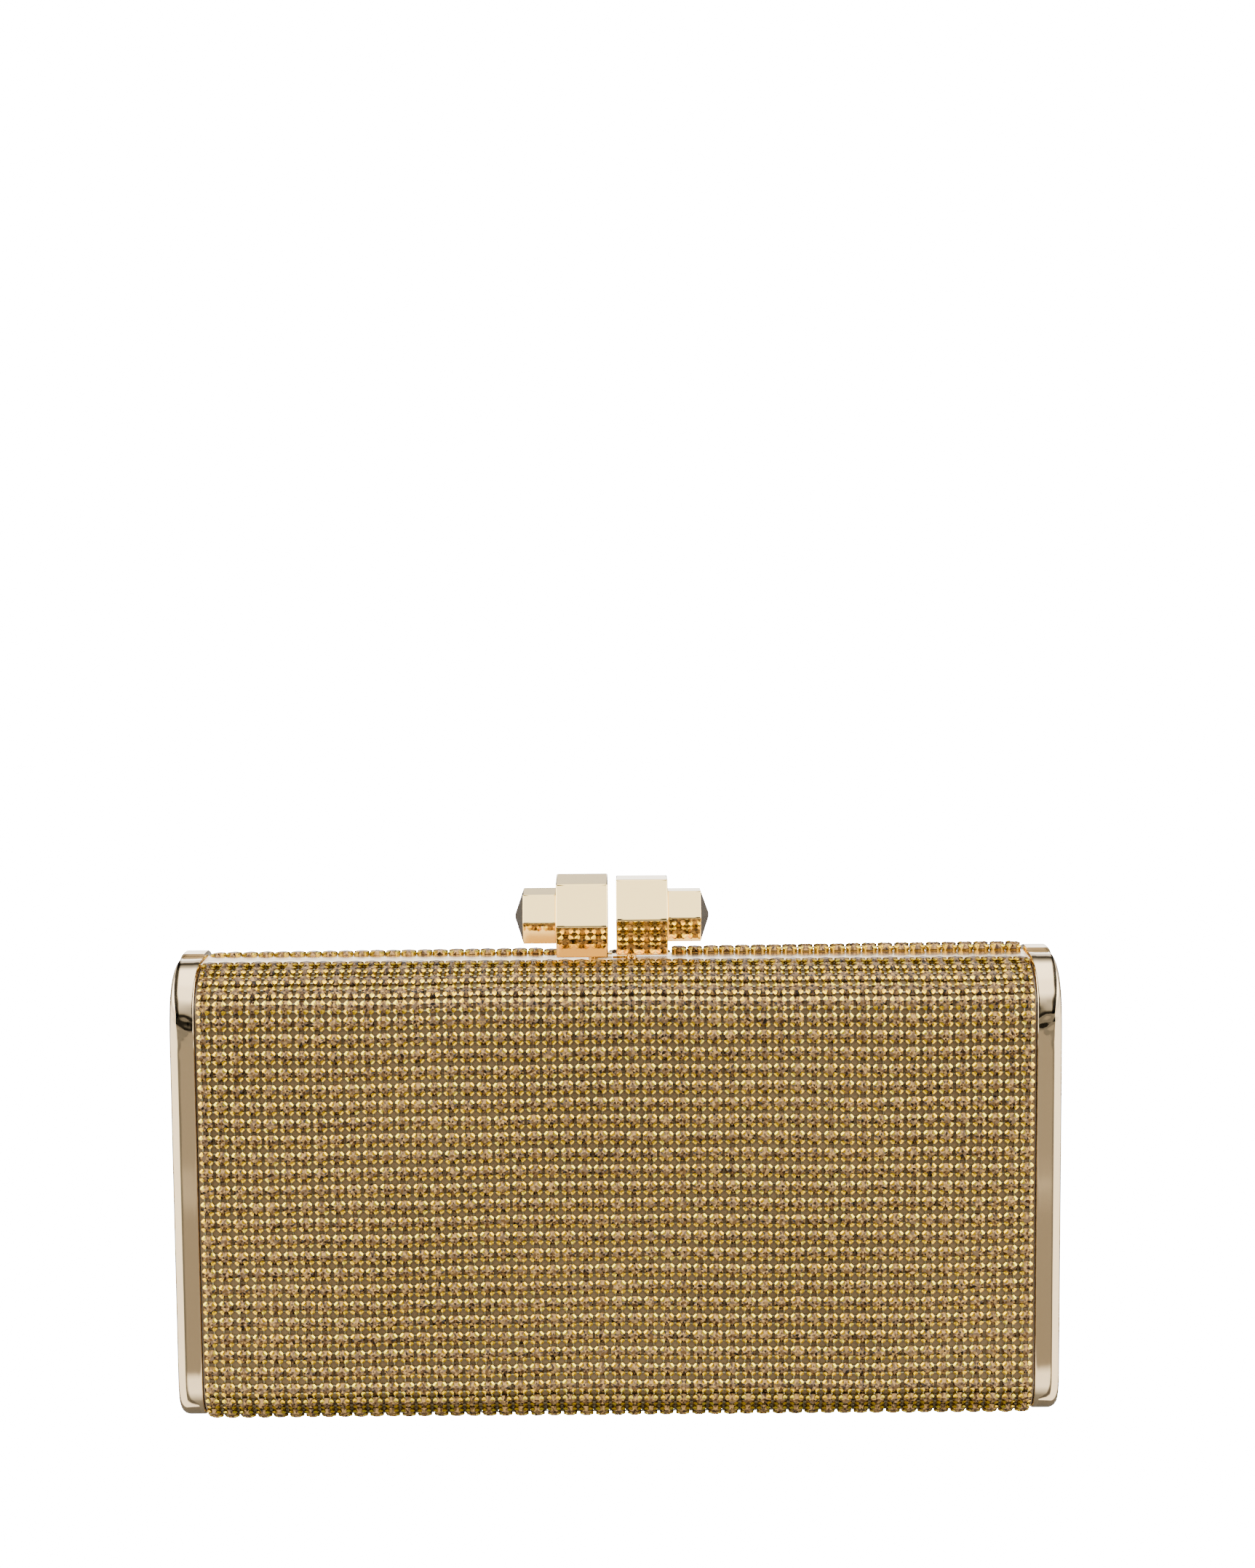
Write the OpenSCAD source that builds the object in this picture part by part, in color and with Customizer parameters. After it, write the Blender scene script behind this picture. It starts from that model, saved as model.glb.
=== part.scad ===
// Hard-shell evening clutch: two half boxes joined by a hinge along the bottom edge.
// +X runs along the width, +Y from the front half to the back half, +Z up.
// The origin is on the ground under the middle of the closed bag.

/* [Body] */
// Width over the metal end caps
body_w = 190; // [170:1:220]
// Height of the end caps above the ground
body_h = 100; // [90:1:120]
// Distance from the split plane to the front face of an end cap
half_depth = 17; // [16:0.5:20]
// How much taller the back half is than the front half
back_rise = 0.6; // [0:0.1:1]

/* [Crystal mesh] */
// How far the crystal mesh stands proud of the cap faces
mesh_proud = 0.5; // [0.3:0.1:0.8]
// How far the mesh hangs below the caps
mesh_drop = 0.6; // [0.3:0.1:0.8]
// Thickness of the crystal mesh
mesh_t = 1.8; // [1.6:0.1:2]
// Thickness of the satin under the mesh
backing_t = 0.3; // [0.2:0.1:0.4]

/* [Walls] */
// Thickness of the pressed shells
shell_t = 1.2; // [1:0.1:1.4]
// Thickness of the lined inner trays
lining_t = 0.7; // [0.5:0.1:0.8]
// Width of an end cap along the bag
cap_w = 5.5; // [5:0.5:8]
// Wall thickness of an end cap
cap_t = 1.2; // [1:0.1:1.6]

/* [Frame band] */
// Width of the metal band on each half, beside the split
band_w = 5.8; // [5.5:0.1:6.5]
// Half of the gap between the two halves
half_gap = 0.1; // [0.05:0.05:0.2]
// How far the band lies below the top of the caps
band_drop = 0.8; // [0.6:0.1:1]

/* [Hinge] */
// Height of the hinge axis above the ground
hinge_z = 2.4; // [2.2:0.1:2.6]
// Outer radius of the hinge knuckles
knuckle_r = 1.6; // [1.4:0.1:1.7]
// Radius of the hinge pin
pin_r = 0.8; // [0.6:0.1:1]
// Length of the row of knuckles
hinge_len = 174; // [160:2:174]
// Number of knuckles, counted over both leaves
knuckles = 15; // [9:2:19]

/* [Clasp] */
// Middle of the gap between the two knobs, along the width
clasp_x = -0.7; // [-3:0.1:3]
// Gap between the two knobs
knob_gap = 1.8; // [1.5:0.1:3]
// Side of the large hexagon
knob_side = 9.5; // [8:0.1:9.6]
// Length of the large hexagon
knob_len = 11.2; // [8:0.1:14]
// Side of the small hexagon
collar_side = 6.35; // [5:0.05:7]
// Length of the small hexagon
collar_len = 7.2; // [5:0.1:9]
// Height of the crystal pyramid on each end
crystal_h = 1.75; // [1:0.05:2.5]
// Forward lean of the back half's knob, in degrees
back_lean = 6.6; // [0:0.2:7]
// Backward lean of the front half's knob, in degrees
front_lean = 2; // [0:0.2:7]

/* [Hidden] */
$fn = 64;

// sides of the split plane, and ends of the bag
FRONT = -1;
BACK = 1;
LEFT = -1;
RIGHT = 1;

// outline of the caps: two tangent arcs over the top edge, one arc under the bottom edge
corner_reach = 12;
corner_drop = 9.3;
corner_r = 7;
bottom_r = 8;

// outline of the mesh and of the layers under it, which are inset from its outer surface
mesh_face = half_depth + mesh_proud;
mesh_top = body_h - 0.3;
backing_in = mesh_t;
shell_in = mesh_t + backing_t;
lining_in = shell_in + shell_t;

// span of the parts between the caps
inner_x = body_w / 2 - cap_w;
layer_gap = 0.2;
shell_end_in = inner_x - shell_t;

// band round the mouth of each half
band_top = body_h - band_drop;
lip_t = 0.5;
sill_w = 2.2;
foot_y = 1;
foot_z = 1.6;

// caps
cap_edge_r = 1.5;
cap_top_run = 2.2;
cap_top_fall = 5.7;
corner_flats = 4;
groove_angle = 42;

// screws that hold the caps to the ends of the shells
screw_r = 0.95;
screw_hole_r = 1;
screw_pass_r = 1.1;
boss_r = 2.2;
head_r = 1.8;
head_t = 0.7;
screw_depth = 3.4;
screw_y = 9;
screw_zs = [20, body_h - 20];

// hinge leaves
leaf_t = 0.7;
leaf_w = 9;
bore_r = pin_r + 0.05;
knuckle_len = hinge_len / knuckles;
side_play = 0.15;
knuckle_room = 0.2;
rivet_r = 0.9;
rivet_y = 6.5;
rivet_xs = [for (i = [-2:2]) i * hinge_len / 5];

// clasp: knob centres, posts and what holds them
knob_y = 1;
knob_z = body_h + 8.3;
post_r = 1;
post_y = 2.4;
post_in = 3.3;
post_top = knob_z - 4;
pivot_z = body_h - 5.8;
pivot_r = 0.8;
barrel_r = 1.3;
barrel_len = 3.6;
ear_in = 2.2;
ear_out = 3;
ear_half = 1.9;
ear_bottom = pivot_z - 3.4;
spring_t = 0.4;
tail_half = 0.5;
tail_room = 0.3;
nose_gap = 0.1;
nose_h = 0.5;
nose_w = 0.9;
window_x = 4.2;
window_y = 4.6;

GOLD = [0.86, 0.76, 0.62];
STONES = [0.62, 0.48, 0.25];
SATIN = [0.36, 0.27, 0.13];
LINING = [0.55, 0.45, 0.33];
STEEL = [0.72, 0.72, 0.72];
SMOKE = [0.25, 0.22, 0.19];

function rise_of(half) = half == BACK ? back_rise : 0;
function post_x(half) = clasp_x - half * (knob_gap / 2 + post_in);
function arc_top_r(reach, drop, r) = ((reach - r) ^ 2 + drop ^ 2 - r ^ 2) / (2 * (drop - r));

// Section of a half box, in Y and Z, filled back to the split plane.
module section(face, top, bottom, reach, drop, r_face, r_bottom) {
    r_top = arc_top_r(reach, drop, r_face);
    face_c = [-face + r_face, top - drop];
    top_c = [-face + reach, top - r_top];
    toward = (face_c - top_c) / norm(face_c - top_c);
    intersection() {
        translate(top_c) circle(r_top);
        polygon([top_c, top_c + [0, 2 * r_top], top_c + [-2 * r_top, 2 * r_top],
                 top_c + 2 * r_top * toward]);
    }
    translate(face_c) circle(r_face);
    translate([-face + r_bottom, bottom + r_bottom]) circle(r_bottom);
    translate([-face, bottom + r_bottom]) square([face, top - drop - bottom - r_bottom]);
    translate([-face + r_bottom, bottom]) square([face - r_bottom, top - drop - bottom]);
    translate([-face + reach, top - drop]) square([face - reach, drop]);
}

// Section of one layer of the wall, inset from the outer surface of the mesh.
module layer_section(inset, rise) {
    section(mesh_face - inset, mesh_top + rise - inset, inset,
            corner_reach + mesh_proud - inset, corner_drop - inset + mesh_proud,
            corner_r + mesh_proud - inset, bottom_r + mesh_proud - inset);
}

// A section drawn in Y and Z, extruded along X between two planes.
module along_x(x0, x1) {
    translate([x0, 0, 0]) rotate([90, 0, 90]) linear_extrude(x1 - x0) children();
}

// Turns a front part into the matching back part.
module on_half(half) {
    mirror([0, half == BACK ? 1 : 0, 0]) children();
}

// A block given by two opposite corners.
module block(low, high) {
    translate(low) cube(high - low);
}

module open_box(half, inset, thickness, end_x, mouth) {
    rise = rise_of(half);
    difference() {
        along_x(-end_x, end_x) layer_section(inset, rise);
        along_x(-end_x + thickness, end_x - thickness) layer_section(inset + thickness, rise);
        block([-body_w, -mouth, -1], [body_w, 1, 2 * body_h]);
    }
}

module post_hole(half, r, z0, z1) {
    translate([post_x(half), -post_y, z0]) cylinder(h = z1 - z0, r = r);
}

module shell(half) {
    top_wall = mesh_top + rise_of(half) - shell_in;
    color(STEEL) on_half(half) difference() {
        open_box(half, shell_in, shell_t, inner_x, half_gap + lip_t);
        block([-body_w, -sill_w, -1], [body_w, 1, lining_in + 1]);
        block([post_x(half) - ear_out, -window_y, top_wall - shell_t - 1],
              [post_x(half) + ear_out, 1, top_wall - shell_t]);
        post_hole(half, post_r + 0.6, top_wall - 2, top_wall + 1);
        for (end = [LEFT, RIGHT], z = screw_zs)
            translate([end * (inner_x + 1), -screw_y, z]) rotate([0, -90 * end, 0])
                cylinder(h = 4, r = screw_pass_r);
        for (x = rivet_xs) translate([x, -rivet_y, 0]) cylinder(h = leaf_w, r = rivet_r + 0.05);
    }
}

module frame(half) {
    top = mesh_top + rise_of(half) - shell_in;
    bar_x = shell_end_in - lining_t;
    color(GOLD) on_half(half) difference() {
        union() {
            // the band on top of the shell, with a lip over the edge of its top wall
            block([-inner_x, -band_w, top], [inner_x, -half_gap, band_top]);
            block([-inner_x, -half_gap - lip_t, top - shell_t], [inner_x, -half_gap, top]);
            // the two side bars, which cover the edges of the shell's ends
            for (end = [LEFT, RIGHT]) {
                side = [min(end * bar_x, end * inner_x), max(end * bar_x, end * inner_x)];
                block([side[0], -half_gap - lip_t, foot_z + 1], [side[1], -half_gap, top]);
                block([side[0], -sill_w, foot_z], [side[1], -foot_y, lining_in]);
                block([side[0], -sill_w, foot_z + 1], [side[1], -half_gap, lining_in]);
            }
            // the sill under the shell's bottom wall
            block([-inner_x, -band_w, mesh_drop], [inner_x, -sill_w, shell_in]);
        }
        post_hole(half, post_r + 0.35, top - 3, band_top + 1);
    }
}

module mesh(half) {
    color(STONES) on_half(half) difference() {
        along_x(-inner_x + layer_gap, inner_x - layer_gap) layer_section(0, rise_of(half));
        along_x(-body_w, body_w) layer_section(mesh_t, rise_of(half));
        block([-body_w, -band_w - layer_gap, -1], [body_w, 1, 2 * body_h]);
    }
}

module backing(half) {
    color(SATIN) on_half(half) difference() {
        along_x(-inner_x, inner_x) layer_section(backing_in, rise_of(half));
        along_x(-body_w, body_w) layer_section(shell_in, rise_of(half));
        block([-body_w, -band_w, -1], [body_w, 1, 2 * body_h]);
    }
}

module lining(half) {
    color(LINING) on_half(half) difference() {
        open_box(half, lining_in, lining_t, shell_end_in, half_gap + lip_t);
        // room for the hinge leaf, the clasp bracket and the heads of the cap screws
        block([-hinge_len / 2 - 1, -leaf_w - layer_gap, lining_in - 1],
              [hinge_len / 2 + 1, 1, lining_in + lining_t + 1]);
        block([-body_w, -sill_w, -1], [body_w, 1, lining_in + lining_t + 1]);
        block([post_x(half) - window_x, -window_y, pivot_z - 4],
              [post_x(half) + window_x, 1, body_h + 1]);
        for (end = [LEFT, RIGHT], z = screw_zs)
            translate([end * inner_x, -screw_y, z]) rotate([0, -90 * end, 0])
                cylinder(h = 4, r = head_r + layer_gap);
    }
}

// What to cut from a corner to round it off, as a quarter ellipse of a few flats.
module corner_cut(corner, run, fall) {
    arc = [for (i = [0:corner_flats], a = 90 * i / corner_flats)
        [-run * (1 - cos(a)), -fall * (1 - sin(a))]];
    translate(corner) polygon(concat(arc, [[-run, 1], [1, 1], [1, -fall]]));
}

// The cap's section, with its outer edges rounded off: top and bottom as seen from the
// front, and the upright edge as seen from above.
module cap_solid(rise) {
    top = body_h + rise;
    end_x = body_w / 2;
    difference() {
        along_x(inner_x, end_x)
            section(half_depth, top, mesh_drop, corner_reach, corner_drop, corner_r, bottom_r);
        translate([0, 1, 0]) rotate([90, 0, 0]) linear_extrude(half_depth + 2) {
            corner_cut([end_x, top], cap_top_run, cap_top_fall);
            mirror([0, 1]) corner_cut([end_x, -mesh_drop], cap_edge_r, cap_edge_r);
        }
        translate([0, 0, -1]) linear_extrude(2 * body_h)
            mirror([0, 1]) corner_cut([end_x, half_depth], cap_edge_r, cap_edge_r);
    }
}

module cap(half, end) {
    rise = rise_of(half);
    pocket_x = body_w / 2 - cap_t - 0.4;
    color(GOLD) on_half(half) mirror([end == LEFT ? 1 : 0, 0, 0]) difference() {
        cap_solid(rise);
        // split plane and the groove under the hinge axis
        block([0, -half_gap, -1], [body_w, 1, 2 * body_h]);
        along_x(0, body_w) polygon([
            [0, hinge_z], [-half_gap, hinge_z],
            [-half_gap - (hinge_z + 1) * tan(groove_angle), -1], [0, -1]]);
        // hollow inside, with two screw bosses left standing
        difference() {
            along_x(inner_x - 1, pocket_x) section(half_depth - cap_t, body_h + rise - cap_top_fall,
                mesh_drop + cap_t, corner_reach - cap_t, corner_drop - cap_t,
                corner_r - cap_t, bottom_r - cap_t);
            block([0, -half_gap - cap_t, -1], [body_w, 1, 2 * body_h]);
            block([0, -half_gap - 4, -1], [body_w, 1, hinge_z + 2]);
            for (z = screw_zs) translate([inner_x, -screw_y, z]) rotate([0, 90, 0])
                cylinder(h = cap_w, r = boss_r);
        }
        for (z = screw_zs) translate([inner_x - 1, -screw_y, z]) rotate([0, 90, 0])
            cylinder(h = screw_depth + 1, r = screw_hole_r);
    }
}

module cap_screws(half) {
    color(STEEL) on_half(half) for (end = [LEFT, RIGHT], z = screw_zs)
        translate([end * shell_end_in, -screw_y, z]) rotate([0, 90 * end, 0]) {
            cylinder(h = shell_t + screw_depth - 0.2, r = screw_r);
            translate([0, 0, -head_t]) difference() {
                cylinder(h = head_t, r = head_r);
                translate([0, 0, -0.1]) cylinder(h = 0.5, r = 0.75, $fn = 6);
            }
        }
}

// Knuckles take turns along the hinge: even ones belong to the back leaf.
module hinge_leaf(half) {
    first = half == BACK ? 0 : 1;
    color(GOLD) on_half(half) difference() {
        union() {
            difference() {
                block([-hinge_len / 2, -leaf_w, lining_in],
                      [hinge_len / 2, -0.3, lining_in + leaf_t]);
                for (i = [1 - first:2:knuckles - 1])
                    knuckle(i, knuckle_r + knuckle_room, -side_play);
            }
            for (i = [first:2:knuckles - 1]) knuckle(i, knuckle_r, side_play / 2);
        }
        translate([-body_w / 2, 0, hinge_z]) rotate([0, 90, 0]) cylinder(h = body_w, r = bore_r);
        for (x = rivet_xs) translate([x, -rivet_y, 0]) cylinder(h = leaf_w, r = rivet_r + 0.05);
    }
}

module knuckle(i, r, inset) {
    translate([-hinge_len / 2 + i * knuckle_len + inset, 0, hinge_z]) rotate([0, 90, 0])
        cylinder(h = knuckle_len - 2 * inset, r = r);
}

module hinge_pin() {
    color(STEEL) translate([-hinge_len / 2, 0, hinge_z]) rotate([0, 90, 0])
        cylinder(h = hinge_len, r = pin_r);
}

module hinge_rivets(half) {
    color(STEEL) on_half(half) for (x = rivet_xs) translate([x, -rivet_y, 0]) {
        translate([0, 0, shell_in]) cylinder(h = shell_t + leaf_t, r = rivet_r);
        translate([0, 0, lining_in + leaf_t]) cylinder(h = 0.5, r = rivet_r * 1.8);
    }
}

// Everything below the knob is drawn for the front half; the back half mirrors it in Y.
module clasp_bracket(half) {
    plate = mesh_top + rise_of(half) - lining_in;
    color(STEEL) on_half(half) difference() {
        translate([post_x(half), 0, 0]) {
            block([-ear_out, -post_y - ear_half, plate - lining_t], [ear_out, -half_gap - lip_t, plate]);
            for (end = [LEFT, RIGHT])
                block([min(end * ear_in, end * ear_out), -post_y - ear_half, ear_bottom],
                      [max(end * ear_in, end * ear_out), -post_y + ear_half, plate]);
        }
        post_hole(half, post_r + 0.6, plate - 2, plate + 1);
        translate([post_x(half) - 5, -post_y, pivot_z]) rotate([0, 90, 0])
            cylinder(h = 10, r = pivot_r + 0.05);
    }
}

// A spring clip that holds the tail of the post between two leaves.
module clasp_spring(half) {
    reach = tail_half + tail_room + spring_t;
    color(STEEL) on_half(half) translate([post_x(half), -post_y, ear_bottom]) {
        block([-ear_in, -reach, 0], [ear_in, reach, spring_t]);
        for (side = [FRONT, BACK])
            translate([0, side * (reach - spring_t / 2), 0])
                block([-1.5, -spring_t / 2, 0], [1.5, spring_t / 2, 1.8]);
    }
}

module clasp_pin(half) {
    color(STEEL) on_half(half) translate([post_x(half) - ear_out, -post_y, pivot_z]) rotate([0, 90, 0])
        cylinder(h = 2 * ear_out, r = pivot_r);
}

module clasp_post(half) {
    // the nose reaches towards the other knob's post, just short of the middle of the gap
    nose_x = knob_gap / 2 + post_in - nose_gap;
    color(GOLD) on_half(half) translate([post_x(half), -post_y, 0]) difference() {
        union() {
            translate([0, 0, pivot_z]) cylinder(h = post_top - pivot_z, r = post_r);
            translate([-barrel_len / 2, 0, pivot_z]) rotate([0, 90, 0])
                cylinder(h = barrel_len, r = barrel_r);
            block([-1.2, -tail_half, ear_bottom + spring_t + 0.2], [1.2, tail_half, pivot_z]);
            block([min(0, half * nose_x), -nose_w / 2, band_top + 0.2],
                  [max(0, half * nose_x), nose_w / 2, band_top + 0.2 + nose_h]);
        }
        translate([-5, 0, pivot_z]) rotate([0, 90, 0]) cylinder(h = 10, r = pivot_r + 0.05);
    }
}

// A hexagonal bar along X with a flat on top, leaning with its knob.
module hex_bar(half, start, length, side, end_side) {
    dir = -half;
    lean = half == BACK ? back_lean : -front_lean;
    translate([clasp_x + dir * start, knob_y, knob_z]) rotate([lean, 0, 0])
        mirror([dir == LEFT ? 1 : 0, 0, 0]) rotate([0, 90, 0]) rotate([0, 0, 30])
            cylinder(h = length, r1 = side, r2 = end_side, $fn = 6);
}

module knob(half) {
    color(GOLD) difference() {
        hex_bar(half, knob_gap / 2, knob_len, knob_side, knob_side);
        on_half(half) post_hole(half, post_r + 0.05, 0, post_top + 0.1);
    }
}

module knob_collar(half) {
    color(GOLD) hex_bar(half, knob_gap / 2 + knob_len, collar_len, collar_side, collar_side);
}

module knob_crystal(half) {
    color(SMOKE) hex_bar(half, knob_gap / 2 + knob_len + collar_len, crystal_h, collar_side - 0.3, 0.5);
}

shell(BACK);  // back_shell
frame(BACK);  // back_frame
cap(BACK, LEFT);  // back_left_cap
cap(BACK, RIGHT);  // back_right_cap
cap_screws(BACK);  // back_cap_screws
mesh(BACK);  // back_crystal_mesh
backing(BACK);  // back_backing_satin
lining(BACK);  // back_lining
shell(FRONT);  // front_shell
frame(FRONT);  // front_frame
cap(FRONT, LEFT);  // front_left_cap
cap(FRONT, RIGHT);  // front_right_cap
cap_screws(FRONT);  // front_cap_screws
mesh(FRONT);  // front_crystal_mesh
backing(FRONT);  // front_backing_satin
lining(FRONT);  // front_lining
hinge_leaf(BACK);  // back_hinge_leaf
hinge_leaf(FRONT);  // front_hinge_leaf
hinge_pin();
hinge_rivets(BACK);  // back_hinge_rivets
hinge_rivets(FRONT);  // front_hinge_rivets
clasp_bracket(BACK);  // back_clasp_bracket
clasp_spring(BACK);  // back_clasp_spring
clasp_post(BACK);  // back_clasp_post
clasp_pin(BACK);  // back_clasp_pin
knob(BACK);  // back_knob
knob_collar(BACK);  // back_knob_collar
knob_crystal(BACK);  // back_knob_crystal
clasp_bracket(FRONT);  // front_clasp_bracket
clasp_spring(FRONT);  // front_clasp_spring
clasp_post(FRONT);  // front_clasp_post
clasp_pin(FRONT);  // front_clasp_pin
knob(FRONT);  // front_knob
knob_collar(FRONT);  // front_knob_collar
knob_crystal(FRONT);  // front_knob_crystal
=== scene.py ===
"""Looks of the evening clutch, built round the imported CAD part. Metres, in the part's own frame."""

import math

import bmesh
import bpy
import numpy as np
from mathutils import Matrix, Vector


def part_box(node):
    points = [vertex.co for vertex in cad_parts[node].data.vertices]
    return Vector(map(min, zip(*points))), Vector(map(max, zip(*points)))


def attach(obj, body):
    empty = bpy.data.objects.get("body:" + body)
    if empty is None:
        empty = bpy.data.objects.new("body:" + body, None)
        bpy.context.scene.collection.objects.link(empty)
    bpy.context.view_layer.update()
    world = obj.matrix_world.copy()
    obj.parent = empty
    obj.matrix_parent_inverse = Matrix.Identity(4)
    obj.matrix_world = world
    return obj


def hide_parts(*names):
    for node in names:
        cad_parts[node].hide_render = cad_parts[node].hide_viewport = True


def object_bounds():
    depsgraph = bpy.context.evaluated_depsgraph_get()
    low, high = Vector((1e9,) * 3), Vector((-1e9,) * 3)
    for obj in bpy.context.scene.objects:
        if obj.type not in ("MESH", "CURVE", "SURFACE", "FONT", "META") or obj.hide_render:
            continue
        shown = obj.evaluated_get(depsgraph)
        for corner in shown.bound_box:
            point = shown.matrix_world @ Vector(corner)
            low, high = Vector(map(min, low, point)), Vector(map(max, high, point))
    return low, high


MM = 0.001
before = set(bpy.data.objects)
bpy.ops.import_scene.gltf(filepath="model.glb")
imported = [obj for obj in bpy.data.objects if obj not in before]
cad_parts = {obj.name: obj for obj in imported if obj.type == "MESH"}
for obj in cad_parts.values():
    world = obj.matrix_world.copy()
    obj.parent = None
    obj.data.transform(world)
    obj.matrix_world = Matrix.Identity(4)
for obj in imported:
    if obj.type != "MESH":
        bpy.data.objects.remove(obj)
size = [[round(c, 6) for c in corner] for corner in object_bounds()]
rng = np.random.default_rng(7)

# ---------------------------------------------------------------- sizes, read from the CAD nodes

def box_mm(node):
    """Low and high corner of a CAD node, in millimetres."""
    return [np.array(c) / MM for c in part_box(node)]


mesh_lo, mesh_hi = box_mm("front_crystal_mesh")
cap_lo, cap_hi = box_mm("front_right_cap")

FACE = -mesh_lo[1]          # outer face of the crystal mesh, from the split plane
TOP = mesh_hi[2]            # its top on the front half
RISE = box_mm("back_crystal_mesh")[1][2] - TOP     # how much higher it is on the back half
MOUTH = -mesh_hi[1]         # where the mesh stops beside the band
PROUD = FACE + cap_lo[1]    # how far the mesh stands proud of the caps
CLASP_X = (box_mm("back_knob")[1][0] + box_mm("front_knob")[0][0]) / 2      # between the two knobs
# the section: how far the shoulder reaches in and down, and the radii at the face and at the bottom
REACH, DROP, R_FACE, R_BOTTOM = 12.5, 9.8, 7.5, 8.5


# ---------------------------------------------------------------- meshes

def mesh_object(name, verts, faces, smooth=False, slots=(), slot_of=None):
    """A mesh from points in millimetres and faces given as arrays of triangles and quads."""
    data = bpy.data.meshes.new(name)
    verts = np.asarray(verts, float) * MM
    arrays = [np.asarray(f, int) for f in faces if len(f)]
    loops = np.concatenate([f.ravel() for f in arrays])
    counts = np.concatenate([np.full(len(f), f.shape[1]) for f in arrays])
    starts = np.concatenate([[0], np.cumsum(counts)[:-1]])
    data.vertices.add(len(verts))
    data.vertices.foreach_set("co", verts.astype(np.float32).ravel())
    data.loops.add(len(loops))
    data.loops.foreach_set("vertex_index", loops.astype(np.int32))
    data.polygons.add(len(counts))
    data.polygons.foreach_set("loop_start", starts.astype(np.int32))
    data.polygons.foreach_set("use_smooth", np.full(len(counts), smooth))
    for material in slots:
        data.materials.append(material)
    if slot_of is not None:
        data.polygons.foreach_set("material_index", np.asarray(slot_of, np.int32))
    data.update(calc_edges=True)
    data.validate()
    obj = bpy.data.objects.new(name, data)
    bpy.context.scene.collection.objects.link(obj)
    return obj


def grid_faces(rows, cols, wrap=False):
    """Quads between neighbouring points of a rows x cols grid; wrap closes it along the columns."""
    i, j = np.meshgrid(np.arange(rows - 1), np.arange(cols if wrap else cols - 1), indexing="ij")
    i, j = i.ravel(), j.ravel()
    k = (j + 1) % cols
    return np.stack([i * cols + j, i * cols + k, (i + 1) * cols + k, (i + 1) * cols + j], 1)


def copies(verts, faces, places, turns):
    """Many copies of a small shape: verts (n, 3), one list of face arrays, a place and a 3x3 turn each."""
    count, n = len(places), len(verts)
    points = np.einsum("mij,nj->mni", turns, verts) + places[:, None, :]
    shift = (np.arange(count) * n)[:, None, None]
    return points.reshape(-1, 3), [(f[None] + shift).reshape(-1, f.shape[1]) for f in map(np.asarray, faces)]


def run_lengths(path):
    """Length along the path at each of its points."""
    return np.concatenate([[0], np.cumsum(np.hypot(*(path[1:] - path[:-1]).T))])


def section_path(face, top, bottom, reach, drop, r_face, r_bottom, start, stop, step):
    """Points and outward normals (y, z) down a front section, from the mouth to under the bottom."""
    r_top = ((reach - r_face) ** 2 + drop ** 2 - r_face ** 2) / (2 * (drop - r_face))
    top_c = np.array([-face + reach, top - r_top])
    face_c = np.array([-face + r_face, top - drop])
    under_c = np.array([-face + r_bottom, bottom + r_bottom])
    lean = face_c - top_c
    bend = math.atan2(lean[1], lean[0])
    points, normals = [], []

    def line(p, q, normal):
        n = max(2, int(np.hypot(*(q - p)) / step) + 1)
        for t in np.linspace(0, 1, n):
            points.append(p + (q - p) * t)
            normals.append(np.array(normal, float))

    def arc(centre, r, a, b):
        n = max(3, int(abs(b - a) * r / step) + 1)
        for angle in np.linspace(a, b, n):
            unit = np.array([math.cos(angle), math.sin(angle)])
            points.append(centre + r * unit)
            normals.append(unit)

    line(np.array([-start, top]), np.array([top_c[0], top]), (0, 1))
    arc(top_c, r_top, math.pi / 2, bend)
    arc(face_c, r_face, bend, math.pi)
    line(np.array([-face, top - drop]), np.array([-face, under_c[1]]), (-1, 0))
    arc(under_c, r_bottom, math.pi, 1.5 * math.pi)
    line(np.array([under_c[0], bottom]), np.array([-stop, bottom]), (0, -1))
    points, normals = np.array(points), np.array(normals)
    keep = np.concatenate([[True], np.hypot(*(points[1:] - points[:-1]).T) > 1e-6])
    return points[keep], normals[keep]


def along(points, normals, s):
    """Point and normal at each distance s along the path."""
    d = run_lengths(points)
    p = np.stack([np.interp(s, d, points[:, k]) for k in (0, 1)], -1)
    n = np.stack([np.interp(s, d, normals[:, k]) for k in (0, 1)], -1)
    return p, n / np.linalg.norm(n, axis=-1, keepdims=True)


def to_half(points, half):
    """Front points as they are, or mirrored to the back half."""
    out = np.array(points, float)
    if half == "back":
        out[:, 1] *= -1
    return out


def flip_for(half, faces):
    """Mirroring turns faces over, so the back half's are reversed."""
    return [np.asarray(f)[:, ::-1] for f in faces] if half == "back" else faces


def rise(half):
    """How much higher the top of this half is than the front one's, in millimetres."""
    return RISE if half == "back" else 0.0


# ---------------------------------------------------------------- materials

def principled(name, color, metallic=0.0, roughness=0.5, **more):
    """A plain material; more gives other sockets of its shader, with _ for a space."""
    material = bpy.data.materials.new(name)
    material.use_nodes = True
    shader = material.node_tree.nodes["Principled BSDF"]
    shader.inputs["Base Color"].default_value = (*color, 1)
    shader.inputs["Metallic"].default_value = metallic
    shader.inputs["Roughness"].default_value = roughness
    for key, value in more.items():
        shader.inputs[key.replace("_", " ")].default_value = value
    return material


def add(material, kind, **values):
    node = material.node_tree.nodes.new(kind)
    for key, value in values.items():
        name = key.replace("_", " ")
        if name in node.inputs:
            node.inputs[name].default_value = value
        else:
            setattr(node, key, value)
    return node


def link(material, source, output, target, socket):
    material.node_tree.links.new(source.outputs[output], target.inputs[socket])


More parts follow.
